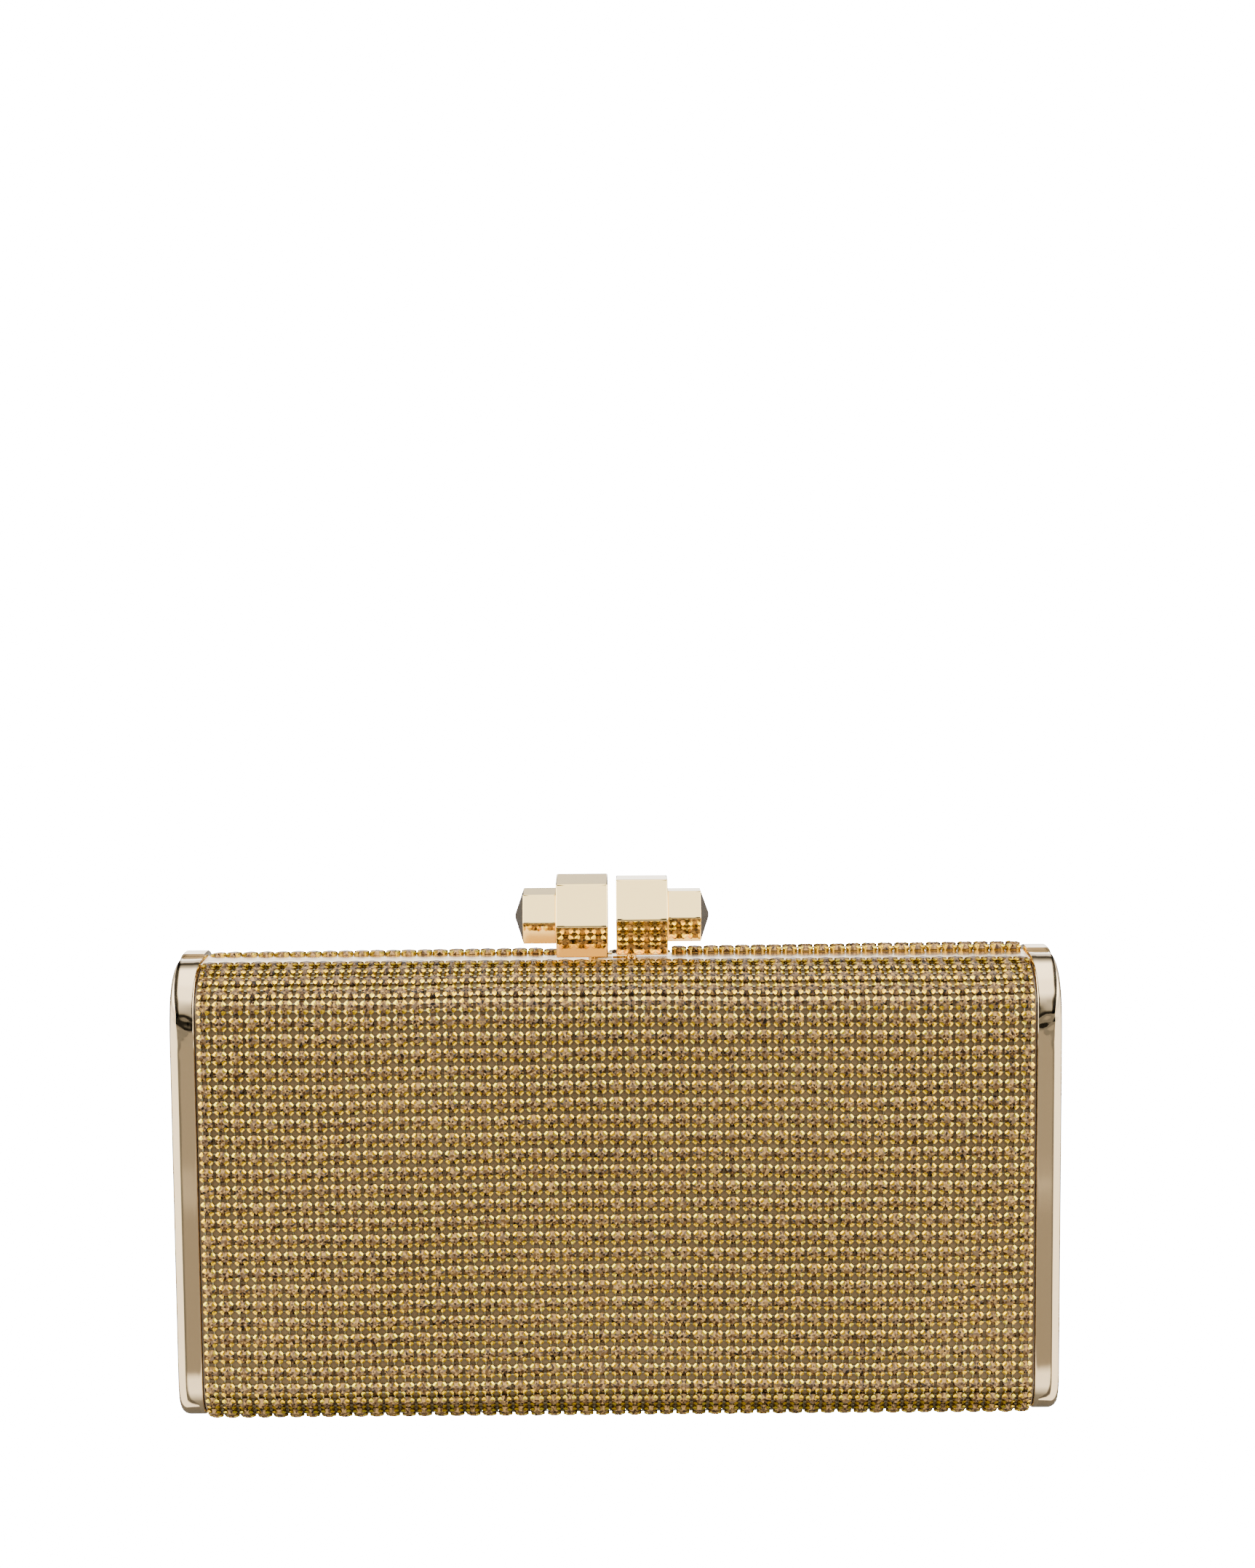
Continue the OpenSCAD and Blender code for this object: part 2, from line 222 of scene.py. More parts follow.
def noise_roughness(material, scale, low, high, detail=4.0):
    """Uneven polish: roughness wanders between two values over the surface."""
    shader = material.node_tree.nodes["Principled BSDF"]
    where = add(material, "ShaderNodeTexCoord")
    noise = add(material, "ShaderNodeTexNoise", Scale=scale, Detail=detail)
    ramp = add(material, "ShaderNodeMapRange", To_Min=low, To_Max=high, From_Min=0.3, From_Max=0.7)
    link(material, where, "Object", noise, "Vector")
    link(material, noise, "Fac", ramp, "Value")
    link(material, ramp, "Result", shader, "Roughness")
    return material


def noise_bump(material, scale, distance, detail=2.0, strength=1.0):
    """Small waves in the surface."""
    shader = material.node_tree.nodes["Principled BSDF"]
    where = add(material, "ShaderNodeTexCoord")
    noise = add(material, "ShaderNodeTexNoise", Scale=scale, Detail=detail)
    bump = add(material, "ShaderNodeBump", Strength=strength, Distance=distance)
    link(material, where, "Object", noise, "Vector")
    link(material, noise, "Fac", bump, "Height")
    link(material, bump, "Normal", shader, "Normal")
    return material


def cloth(name, dark, light, pitch, distance, roughness=0.6, sheen=0.3):
    """Woven satin: fine diagonal ribs, with the colour a little darker between them as painted shade in the
    grooves.
    """
    material = principled(name, light, roughness=roughness, Sheen_Weight=sheen)
    shader = material.node_tree.nodes["Principled BSDF"]
    where = add(material, "ShaderNodeTexCoord")
    wave = add(material, "ShaderNodeTexWave", bands_direction="DIAGONAL", Scale=0.5 / pitch,
               Distortion=0.3)
    cloud = add(material, "ShaderNodeTexNoise", Scale=60.0, Detail=3.0)
    ramp = add(material, "ShaderNodeMix", data_type="RGBA")
    ramp.inputs[6].default_value = (*dark, 1)
    ramp.inputs[7].default_value = (*light, 1)
    mix = add(material, "ShaderNodeMath", operation="MULTIPLY_ADD")
    mix.inputs[1].default_value = 0.6
    scaled = add(material, "ShaderNodeMath", operation="MULTIPLY")
    scaled.inputs[1].default_value = 0.5
    bump = add(material, "ShaderNodeBump", Strength=0.6, Distance=distance)
    link(material, where, "Object", wave, "Vector")
    link(material, where, "Object", cloud, "Vector")
    link(material, cloud, "Fac", scaled, 0)
    link(material, wave, "Fac", mix, 0)
    link(material, scaled, 0, mix, 2)
    link(material, mix, 0, ramp, 0)
    link(material, ramp, 2, shader, "Base Color")
    link(material, wave, "Fac", bump, "Height")
    link(material, bump, "Normal", shader, "Normal")
    return material


gold = noise_bump(noise_roughness(principled("polished_gold", (0.93, 0.70, 0.40), 1.0, 0.06),
                                  90, 0.03, 0.08), 60, 0.0001, 1.0)
knob_gold = noise_bump(noise_roughness(principled("knob_gold", (1.0, 0.735, 0.30), 1.0, 0.06),
                                       140, 0.03, 0.07), 70, 0.00004, 1.0)
band_gold = noise_roughness(principled("band_gold", (0.88, 0.66, 0.38), 1.0, 0.2), 120, 0.17, 0.24)
hinge_gold = noise_roughness(principled("hinge_gold", (0.78, 0.62, 0.40), 1.0, 0.2), 300, 0.14, 0.3)
steel = noise_roughness(principled("brushed_steel", (0.62, 0.62, 0.60), 1.0, 0.3), 400, 0.22, 0.4)
pressed = noise_bump(principled("pressed_shell", (0.45, 0.42, 0.38), 1.0, 0.4), 250, 0.00004)
satin = cloth("backing_satin", (0.075, 0.045, 0.013), (0.20, 0.125, 0.042), 0.00019, 0.00003)
lining_cloth = cloth("lining_satin", (0.27, 0.20, 0.13), (0.42, 0.33, 0.23), 0.0003, 0.00003, 0.45, 0.6)

# the stones' own smoky browns (brown, mauve) with painted glints (salmon, tan) and painted dark reflections
# (umber, dark), standing in for light inside the glass
facet_colors = {
    "salmon": (0.415, 0.238, 0.078),
    "tan": (0.24, 0.138, 0.044),
    "brown": (0.106, 0.057, 0.019),
    "mauve": (0.13, 0.082, 0.044),
    "umber": (0.04, 0.018, 0.005),
    "dark": (0.010, 0.006, 0.003),
}
facets = [principled("facet_" + n, c, 0.0, 0.08, Specular_IOR_Level=0.18)
          for n, c in facet_colors.items()]
# lit and shaded copies of the prongs' gold: cream and yellow for lit tips, deep for shaded ones, and the
# stems darker as painted shade down between the stones
tips = [principled("tip_cream", (1.0, 0.73, 0.05), 1.0, 0.22),
        principled("tip_yellow", (1.0, 0.60, 0.012), 1.0, 0.22),
        principled("tip_deep", (0.84, 0.52, 0.015), 1.0, 0.22),
        principled("prong_stem", (0.46, 0.32, 0.035), 1.0, 0.22)]
# painted shade: the cups are of the prongs' gold, made dark for the shade down between the stones
cup_gold = principled("cup_gold", (0.20, 0.12, 0.03), 1.0, 0.35)
silver = principled("link_silver", (0.34, 0.30, 0.18), 1.0, 0.3)
smoke = principled("smoky_crystal", (0.06, 0.05, 0.037), 0.0, 0.12, Specular_IOR_Level=0.06)

# ---------------------------------------------------------------- crystal mesh

COLS, ROWS = 51, 32
PITCH_X = (mesh_hi[0] - mesh_lo[0]) / COLS
STONE_R, BELT_R, TABLE_R = 1.5, 1.12, 0.70
CROWN_TOP, BELT, GIRDLE = 0.12, -0.13, -0.62    # heights over the face of the mesh
UMBER, DEEP, STEM = 4, 2, 3                     # places in facets and in tips
CUP_RINGS = ((1.42, -0.85), (1.46, -1.0), (1.2, -1.75))     # radius and height down the side of a cup
CUP_SIDES = 12
ROWS_OUT = (0.45, 0.2, 0.0)     # how far the first rows are pushed from the band
TUCK, TUCK_DIP = 3.4, 0.35      # at each end the mesh dips towards the caps over this width, by this much
ENDS = (-90, 90)                # along the back row: its curl in degrees and its lift grow to the right
END_CURLS, END_LIFTS = (5, 22), (-0.35, 0.6)
KNOB_ROOM = 0.9                 # it is pressed down by this under the knobs,
KNOB_REACH = (11.9, 14.0)       # fully within the first distance from the clasp's middle, not past the second
FIRST_ROW_WIDTH = 1.13


def stone_shape():
    """Crown of a round stone as verts, triangles (six to each eighth) and the quads of its rim."""
    def ring(r, z, count, turn):
        a = np.radians(turn) + np.arange(count) * 2 * math.pi / count
        return np.stack([r * np.cos(a), r * np.sin(a), np.full(count, z)], 1)

    table = ring(TABLE_R, CROWN_TOP, 8, 22.5)
    belt = ring(BELT_R, BELT, 8, 0)
    girdle = ring(STONE_R, GIRDLE, 16, 0)
    foot = ring(STONE_R * 0.93, GIRDLE - 0.25, 16, 0)
    verts = np.concatenate([[[0, 0, CROWN_TOP - 0.02]], table, belt, girdle, foot])
    t, b, g, f = 1, 9, 17, 33
    tris, quads = [], []
    for i in range(8):
        j = (i + 1) % 8
        tris.append((0, t + i, t + j))                          # table wedge
        tris.append((t + i, b + j, t + j))                      # star
        tris.append((b + i, g + 2 * i, g + 2 * i + 1))          # girdle triangles
        tris.append((b + j, g + 2 * i + 1, g + (2 * i + 2) % 16))
        tris.append((t + i, b + i, g + 2 * i + 1))              # kite halves
        tris.append((t + i, g + 2 * i + 1, b + j))
    for i in range(16):
        quads.append((g + i, f + i, f + (i + 1) % 16, g + (i + 1) % 16))
    return verts, np.array(tris), np.array(quads)


def prong_shape():
    """One prong standing on the diagonal, with a flat pentagonal tip bent over the stone."""
    rim = np.array([[1.70, -0.36], [1.40, -0.54], [0.88, -0.24], [0.88, 0.24], [1.40, 0.54], [1.70, 0.36]])
    height = np.interp(rim[:, 0], [0.88, 1.4, 1.75], [0.0, -0.12, -0.30])
    tip = np.column_stack([rim, height])
    low = np.column_stack([rim, height - 0.22])
    foot = np.array([[1.60, -0.22, -1.75], [1.34, -0.30, -1.75], [1.34, 0.30, -1.75], [1.60, 0.22, -1.75]])
    crown = [[1.34, 0, -0.04]]
    verts = np.concatenate([tip, low, foot, crown])
    top = [(i, (i + 1) % 6, 16) for i in range(6)]
    sides = [(6 + i, 6 + (i + 1) % 6, (i + 1) % 6, i) for i in range(6)]
    stem = [(6, 12, 13, 7), (11, 10, 14, 15), (6, 11, 15, 12), (7, 13, 14, 10)]
    return verts, np.array(top), np.array(sides + stem)


def turned(verts, degrees):
    """Points turned about the third axis."""
    a = math.radians(degrees)
    spin = np.array([[math.cos(a), -math.sin(a), 0], [math.sin(a), math.cos(a), 0], [0, 0, 1]])
    return verts @ spin.T


def bar(lo, hi):
    """Box between two corners, as verts and quads."""
    verts = np.array([[x, y, z] for x in (lo[0], hi[0]) for y in (lo[1], hi[1]) for z in (lo[2], hi[2])])
    quads = [(0, 1, 3, 2), (4, 6, 7, 5), (0, 4, 5, 1), (2, 3, 7, 6), (1, 5, 7, 3), (0, 2, 6, 4)]
    return verts, np.array(quads)


def weave_places(half):
    """Where each stone sits and how it is turned: x along the bag, second axis up the rows, third outward.

    Each stone's column and row, and the pitch of the rows, come with them."""
    path, normals = section_path(FACE, TOP + rise(half), mesh_lo[2], REACH, DROP, R_FACE, R_BOTTOM,
                                 MOUTH, MOUTH, 0.25)
    pitch = run_lengths(path)[-1] / ROWS
    col, row = np.meshgrid(np.arange(COLS), np.arange(ROWS), indexing="ij")
    col, row = col.ravel(), row.ravel()
    x = mesh_lo[0] + (col + 0.5) * PITCH_X
    s = (row + 0.5) * pitch + np.interp(row, [0, 1, 2], ROWS_OUT)
    # the mesh is soft: rows and columns wander a little
    phase = rng.uniform(0, 2 * math.pi, 6)
    inside = np.minimum(1, (np.minimum(col, COLS - 1 - col)) / 3)
    level = np.minimum(1, (np.minimum(row, ROWS - 1 - row)) / 2)
    x = x + inside * (0.16 * np.sin(s / 17 + phase[0] + x / 60)
                      + 0.07 * np.sin(s / 5.1 + phase[1] + x / 11))
    s = s + level * (0.22 * np.sin(x / 21 + phase[2]) + 0.09 * np.sin(x / 6.3 + phase[3] + s / 9))
    x = x + rng.normal(0, 0.03, len(x))
    s = s + level * rng.normal(0, 0.03, len(s))
    point, normal = along(path, normals, s)
    tuck = np.clip((np.abs(x) - (mesh_hi[0] - TUCK)) / TUCK, 0, 1)
    dip = -0.1 - TUCK_DIP * tuck ** 2 + 0.12 * np.sin(x / 13 + phase[4]) * np.sin(s / 15 + phase[5]) * level
    side = np.sign(x) * tuck * math.radians(10)
    out = np.column_stack([np.sin(side), normal[:, 0] * np.cos(side), normal[:, 1] * np.cos(side)])
    out += rng.normal(0, 0.018, out.shape)
    out /= np.linalg.norm(out, axis=1, keepdims=True)
    up = np.column_stack([np.zeros(len(x)), normal[:, 1], -normal[:, 0]])
    up -= out * np.sum(up * out, 1)[:, None]
    up /= np.linalg.norm(up, axis=1, keepdims=True)
    spin = rng.normal(0, math.radians(1.6), len(x))[:, None]
    right = np.cross(up, out)
    right, up = right * np.cos(spin) + up * np.sin(spin), up * np.cos(spin) - right * np.sin(spin)
    places = np.column_stack([x, point[:, 0], point[:, 1]]) + out * dip[:, None]
    # on the back half the first row curls over towards the band and rides up, more so at the right-hand end;
    # on the front it only rises a little
    curl = np.where(row == 0, np.interp(x, ENDS, END_CURLS) if half == "back" else 0, 0)
    curl = np.radians(curl)[:, None]
    up, out = up * np.cos(curl) - out * np.sin(curl), out * np.cos(curl) + up * np.sin(curl)
    if half == "back":
        lift = np.interp(x, ENDS, END_LIFTS)
        lift -= KNOB_ROOM * np.interp(np.abs(x - CLASP_X), KNOB_REACH, [1, 0])
    else:
        lift = 0.1
    places[:, 2] += np.clip(1 - row / 1.6, 0, 1) * lift
    # the stones of the first row are pressed against each other
    right = right * np.where(row == 0, FIRST_ROW_WIDTH, 1.0)[:, None]
    return places, np.stack([right, up, out], -1), col, row, pitch


def crystal_mesh(half):
    """Stones, prongs, cups and links of one half."""
    body = half + "_half"
    places, turns, col, row, pitch = weave_places(half)
    count = len(places)

    verts, tris, quads = stone_shape()
    points, (tri_all, quad_all) = copies(verts, [tris, quads], places, turns)
    centre = verts[tris].mean(1)
    north = centre[:, 1] / np.maximum(0.3, np.hypot(centre[:, 0], centre[:, 1]))
    table_facet = np.arange(len(tris)) % 6 == 0
    # salmon, tan, brown, mauve, umber, dark: shares by where a facet looks; painted light, with facets that
    # look up getting more of the pale glint colours and those that look down more of the dark ones
    weights = np.where(
        table_facet[:, None], [0.10, 0.16, 0.26, 0.24, 0.14, 0.10],
        np.where((north > 0.45)[:, None], [0.42, 0.20, 0.16, 0.10, 0.08, 0.04],
                 np.where((north < -0.3)[:, None], [0.05, 0.13, 0.26, 0.16, 0.22, 0.18],
                          [0.14, 0.20, 0.22, 0.16, 0.16, 0.12])))
    pick = rng.random((count, len(tris), 1))
    color = (pick > np.cumsum(weights, 1)[None, :, :-1]).sum(-1)
    slot_of = np.concatenate([color.ravel(), np.full(count * len(quads), UMBER)])
    stones = mesh_object(half + "_stones", to_half(points, half), flip_for(half, [tri_all, quad_all]),
                         slots=facets, slot_of=slot_of)

    verts, top, sides = prong_shape()
    all_points, all_faces, all_slots, offset = [], [[], []], [[], []], 0
    for degrees in (45, 135, 225, 315):
        lean = turned(verts, degrees)
        points, (t, q) = copies(lean, [top, sides], places, turns)
        # painted light: tips on the upper side of a stone are paler, as if lit from above: cream below the
        # first share, yellow below the second
        cream, yellow = (0.5, 1.0) if degrees < 180 else (0.10, 0.75)
        shade = rng.random(count)
        shade = np.where(shade < cream, 0, np.where(shade < yellow, 1, DEEP))
        all_points.append(points)
        all_faces[0].append(t + offset)
        all_faces[1].append(q + offset)
        all_slots[0].append(np.repeat(shade, len(top)))
        all_slots[1].append(np.full(count * len(sides), STEM))
        offset += len(points)
    prongs = mesh_object(half + "_prongs", to_half(np.concatenate(all_points), half),
                         flip_for(half, [np.concatenate(all_faces[0]), np.concatenate(all_faces[1])]),
                         slots=tips, slot_of=np.concatenate([*all_slots[0], *all_slots[1]]))

    ring = np.arange(CUP_SIDES) * 2 * math.pi / CUP_SIDES
    cup = np.concatenate([np.column_stack([r * np.cos(ring), r * np.sin(ring), np.full(CUP_SIDES, z)])
                          for r, z in CUP_RINGS])
    points, (q,) = copies(cup, [grid_faces(len(CUP_RINGS), CUP_SIDES, wrap=True)[:, ::-1]], places, turns)
    cups = mesh_object(half + "_cups", to_half(points, half), flip_for(half, [q]), slots=[cup_gold])

    # two links from each cup to the one below, and two to the one beside it
    below, beside = row < ROWS - 1, col < COLS - 1
    link_low, link_high = -1.0, -0.7
    parts = []
    for side in (-1, 1):
        middle = side * 0.74
        parts.append((bar((middle - 0.11, -pitch / 2 - 0.55, link_low),
                          (middle + 0.11, -pitch / 2 + 0.55, link_high)), below))
        middle = side * 0.82
        parts.append((bar((PITCH_X / 2 - 0.28, middle - 0.14, link_low),
                          (PITCH_X / 2 + 0.28, middle + 0.14, link_high)), beside))
    all_points, quads, offset = [], [], 0
    for (v, q), where in parts:
        points, (f,) = copies(v, [q], places[where], turns[where])
        all_points.append(points)
        quads.append(f + offset)
        offset += len(points)
    links = mesh_object(half + "_links", to_half(np.concatenate(all_points), half),
                        flip_for(half, [np.concatenate(quads)]), slots=[silver])
    for obj in (stones, prongs, cups, links):
        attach(obj, body)
    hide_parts(half + "_crystal_mesh")


for half in ("front", "back"):
    crystal_mesh(half)


# ---------------------------------------------------------------- end caps

CAP_SECTION = (REACH - PROUD, DROP - PROUD, R_FACE - PROUD, R_BOTTOM - PROUD)
HINGE_Z = 2.4                           # the groove between the halves runs in to the hinge pin's height
GROOVE = math.tan(math.radians(42))     # and each side of it slopes away from upright by this
SHOULDER = 16.0                         # how far the drawn-in shoulder reaches down from the top
EDGE_TOP = 15.0                         # the outer edge grows softer over this height below the top
EDGE_FALL, EDGE_RUN = 1.8, 2.1          # how far it falls in and runs along x lower down,
EDGE_FALL_MORE, EDGE_RUN_LESS = 0.9, 1.1    # and what that gains and loses at the top
SHARP = math.radians(32)                # edges bent more than this stay sharp


def eased(path, normals, width):
    """The path with its curvature steps blended out over about that many millimetres, away from its ends."""
    s = run_lengths(path)
    weight = np.exp(-0.5 * ((s[:, None] - s[None]) / width) ** 2) * np.gradient(s)[None]
    weight /= weight.sum(1, keepdims=True)
    held = np.clip(np.minimum(s, s[-1] - s) / (3 * width), 0, 1)[:, None]
    path = path * (1 - held) + (weight @ path) * held
    normals = normals * (1 - held) + (weight @ normals) * held
    return path, normals / np.linalg.norm(normals, axis=1, keepdims=True)


def end_cap(half, end):
    """A cap with soft edges: the outline of the section, drawn in across the outer edge."""
    name = f"{half}_{'left' if end < 0 else 'right'}"
    lo, hi = box_mm(name + "_cap")
    inner, outer = min(abs(lo[0]), abs(hi[0])), max(abs(lo[0]), abs(hi[0]))
    top, bottom, face = hi[2], lo[2], max(abs(lo[1]), abs(hi[1]))
    gap = min(abs(lo[1]), abs(hi[1]))
    groove_y = gap + (HINGE_Z - bottom) * GROOVE
    path, normals = section_path(face, top, bottom, *CAP_SECTION, gap, groove_y, 0.35)
    # the shoulder runs softly into the flat face
    shoulder = np.clip(path[:, 1] - (top - SHOULDER), 0, None)
    inward = np.minimum(shoulder, 6.0) ** 2 / 76
    fade = np.clip((top - 2 - path[:, 1]) / (SHOULDER - 10), 0, 1)
    path = path - normals * (inward * np.where(path[:, 1] > top - SHOULDER, fade, 0))[:, None]
    path, normals = eased(path, normals, 2.2)
    # the edge is wide and soft at the top, and tight down the face and under the bottom
    up = np.clip((path[:, 1] - (top - EDGE_TOP)) / (EDGE_TOP - 1), 0, 1)
    up = up * up * (3 - 2 * up)
    fall, run = EDGE_FALL + EDGE_FALL_MORE * up, EDGE_RUN - EDGE_RUN_LESS * up
    phase = rng.uniform(0, 2 * math.pi, 3)
    shoulder_wave = np.exp(-((path[:, 1] - (top - 12.5)) / 4.5) ** 2)
    rings = []
    for x, inset in ((inner, 0.35), (inner + 0.12, 0.10), (inner + 0.35, 0.0)):
        rings.append((np.full(len(path), x), np.full(len(path), inset)))
    start_x = inner + 0.35
    for t in (0.25, 0.5, 0.75):
        rings.append((start_x + (outer - run - start_x) * t, np.zeros(len(path))))
    for a in np.linspace(0, math.pi / 2, 15):
        rings.append((outer - run * (1 - math.sin(a)), fall * (1 - math.cos(a))))
    points = []
    across = np.linspace(0, 1, 6)[1:-1]
    for x, inset in rings:
        wave = (0.03 * np.sin(1.25 * x + 0.8 * path[:, 1] + phase[0])
                + 0.02 * np.sin(1.9 * path[:, 1] - 0.9 * x + phase[1]))
        p = path + normals * (wave * shoulder_wave - inset)[:, None]
        p[:, 0] = np.minimum(p[:, 0], -gap)
        p[0, 0] = -gap
        edge = np.array([-gap, HINGE_Z])
        back = [p[-1] + (edge - p[-1]) * t for t in (0.5, 1.0)]
        back += [edge + (p[0] - edge) * t for t in across]
        yz = np.concatenate([p, back])
        xs = np.concatenate([x, x[-1] + (x[0] - x[-1]) * np.concatenate([[0, 0], across])])
        points.append(np.column_stack([end * xs, yz]))
    n = len(points[0])
    verts = np.concatenate(points)
    quads = grid_faces(len(points), n, wrap=True)
    if end < 0:
        quads = quads[:, ::-1]
    obj = mesh_object(name + "_end_cap", to_half(verts, half), flip_for(half, [quads]), smooth=True,
                      slots=[gold])
    data = obj.data
    bm = bmesh.new()
    bm.from_mesh(data)
    bm.verts.ensure_lookup_table()
    for start in (0, (len(points) - 1) * n):
        flat = bm.faces.new([bm.verts[start + i] for i in range(n)])
        flat.smooth = True
    bmesh.ops.recalc_face_normals(bm, faces=bm.faces)
    for e in bm.edges:
        e.smooth = e.calc_face_angle(0.0) < SHARP
    bm.to_mesh(data)
    bm.free()
    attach(obj, half + "_half")
    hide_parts(name + "_cap")


for half in ("front", "back"):
    for end in (-1, 1):
        end_cap(half, end)


# ---------------------------------------------------------------- knobs

LEANS = {"back": math.radians(6.6), "front": math.radians(-2.0)}    # how far each half's knob is turned
BEVEL_FACE = 2e-6       # faces under this area, in square metres, belong to the soft edges


def hex_bar(name, node, body, half, edge, material, tip=None):
    """Hexagonal bar with soft edges in the place of a CAD node; tip makes it a pyramid of that radius."""
    lo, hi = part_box(node)
    angles = [math.radians(60 * k) + LEANS[half] for k in range(6)]
    centre_y, centre_z = (lo.y + hi.y) / 2, (lo.z + hi.z) / 2
    flat = (hi.z - lo.z) / 2
    # from half the height of the turned hexagon to its side
    side = flat / max(abs(math.sin(a)) for a in angles)
    outward = -1 if half == "back" else 1
    near, far = (lo.x, hi.x) if outward > 0 else (hi.x, lo.x)
    bm = bmesh.new()
    rings = []
    for x, r in ((near, side), (far, side if tip is None else tip)):
        rings.append([bm.verts.new((x, r * math.cos(a) + centre_y, r * math.sin(a) + centre_z))
                      for a in angles])
    for k in range(6):
        bm.faces.new((rings[0][k], rings[0][(k + 1) % 6], rings[1][(k + 1) % 6], rings[1][k]))
    for ring in rings:
        bm.faces.new(ring)
    bmesh.ops.recalc_face_normals(bm, faces=bm.faces)
    bmesh.ops.bevel(bm, geom=list(bm.edges), offset=edge, segments=4, profile=0.5, affect="EDGES",
                    clamp_overlap=True)
    for f in bm.faces:
        f.smooth = f.calc_area() < BEVEL_FACE and tip is None
    data = bpy.data.meshes.new(name)
    bm.to_mesh(data)
    bm.free()
    data.materials.append(material)
    obj = bpy.data.objects.new(name, data)
    bpy.context.scene.collection.objects.link(obj)
    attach(obj, body)
    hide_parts(node)


for half in ("front", "back"):
    body = half + "_clasp"
    hex_bar(half + "_knob_body", half + "_knob", body, half, 0.3 * MM, knob_gold)
    hex_bar(half + "_knob_step", half + "_knob_collar", body, half, 0.22 * MM, knob_gold)
    hex_bar(half + "_pyramid", half + "_knob_crystal", body, half, 0.06 * MM, smoke,
            tip=0.5 * MM)


# ---------------------------------------------------------------- cloth under the mesh, and the lining

SATIN_INSET, SATIN_THICK, SATIN_STEP = 1.35, 0.2, 1.2
TRAY_THICK, TRAY_CORNER, TRAY_FOOT = 0.7, 1.6, 2.4
HINGE_SLOT = (88, 9.3, 12)          # the tray is open within this x, this far from the split and up to here
CLASP_SLOT = (4.2, 4.7, 60)         # and this far each side of the clasp, from the split, above this height


def inset_section(half, inset, start, stop, step):
    """The section of the mesh's outer face, moved inwards."""
    return section_path(FACE - inset, TOP + rise(half) - inset, mesh_lo[2] + inset, REACH - inset,
                        DROP - inset, R_FACE - inset, R_BOTTOM - inset, start, stop, step)


def backing_satin(half):
    """A satin sheet that follows the section under the stones, from end to end of the bag."""
    name, half_width = half + "_satin", mesh_hi[0]
    path, _ = inset_section(half, SATIN_INSET, MOUTH, MOUTH, 0.8)
    xs = np.linspace(-half_width, half_width, int(2 * half_width / SATIN_STEP))
    points = np.zeros((len(xs), len(path), 3))
    points[:, :, 0] = xs[:, None]
    points[:, :, 1:] = path[None]
    faces = grid_faces(len(xs), len(path))
    obj = mesh_object(name, to_half(points.reshape(-1, 3), half), flip_for(half, [faces]), smooth=True,
                      slots=[satin])
    solid = obj.modifiers.new("thickness", "SOLIDIFY")
    solid.thickness, solid.offset = SATIN_THICK * MM, 0
    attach(obj, half + "_half")
    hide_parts(half + "_backing_satin")


for half in ("front", "back"):
    backing_satin(half)


def lining_tray(half):
    """The cloth-lined tray inside a half: sides, rounded corners and end walls in one skin."""
    node = half + "_lining"
    lo, hi = box_mm(node)
    inset = (TOP + rise(half)) - hi[2] + TRAY_THICK / 2
    mouth = min(abs(lo[1]), abs(hi[1]))
    half_width = hi[0] - TRAY_THICK / 2
    path, normals = inset_section(half, inset, mouth, TRAY_FOOT, 0.7)
    # each ring: x, how far in from the skin, and how far along the end wall to the mouth
    straight = half_width - TRAY_CORNER
    rings = [(x, 0.0, 0.0) for x in np.linspace(-straight, straight, 148)]
    edge = [(half_width - TRAY_CORNER * (1 - math.sin(a)), TRAY_CORNER * (1 - math.cos(a)), 0.0)
            for a in np.linspace(0.2, math.pi / 2, 6)]
    wall = [(half_width, TRAY_CORNER, t) for t in np.linspace(0.08, 1, 12)]
    rings = [(-x, d, t) for x, d, t in reversed(edge + wall)] + rings + edge + wall
    s = run_lengths(path)
    points = []
    for x, inward, t in rings:
        ripple = 0.10 * np.sin(s / 5.5 + 2.2 * math.sin(x / 19)) * math.sin(x / 8.5 + 0.6) * (inward == 0)
        ripple = ripple + 0.18 * np.exp(-((s - 3.5) / 1.2) ** 2) * math.sin(x * 1.9)
        p = path - normals * (inward - ripple)[:, None]
        p[:, 0] = np.minimum(p[:, 0], -mouth)
        p[:, 0] += (-mouth - p[:, 0]) * t
        points.append(np.column_stack([np.full(len(p), x), p]))
    points = np.array(points)
    faces = grid_faces(len(rings), len(path))
    flat = points.reshape(-1, 3)
    middle = flat[faces].mean(1)
    post_x = np.mean([c.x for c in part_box(half + "_clasp_bracket")]) / MM
    x, deep, high = HINGE_SLOT
    at_hinge = (np.abs(middle[:, 0]) < x) & (middle[:, 1] > -deep) & (middle[:, 2] < high)
    x, deep, low = CLASP_SLOT
    at_clasp = (np.abs(middle[:, 0] - post_x) < x) & (middle[:, 1] > -deep) & (middle[:, 2] > low)
    faces = faces[~(at_hinge | at_clasp)]
    obj = mesh_object(half + "_tray_cloth", to_half(flat, half), flip_for(half, [faces]), smooth=True,
                      slots=[lining_cloth])
    solid = obj.modifiers.new("thickness", "SOLIDIFY")
    solid.thickness, solid.offset = TRAY_THICK * MM, 0
    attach(obj, half + "_half")
    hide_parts(node)


for half in ("front", "back"):
    lining_tray(half)


# ---------------------------------------------------------------- CAD nodes that show as they are

cad_looks = {"frame": band_gold, "hinge_leaf": hinge_gold, "shell": pressed, "post": knob_gold}
for name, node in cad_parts.items():
    if node.hide_render:
        continue
    material = next((m for part, m in cad_looks.items() if part in name), steel)
    node.data.materials.clear()
    node.data.materials.append(material)
    if any(part in name for part in ("frame", "hinge_leaf", "bracket")):
        soft = node.modifiers.new("soft_edges", "BEVEL")
        soft.width, soft.segments, soft.limit_method = 0.12 * MM, 2, "ANGLE"


# ---------------------------------------------------------------- floor and light

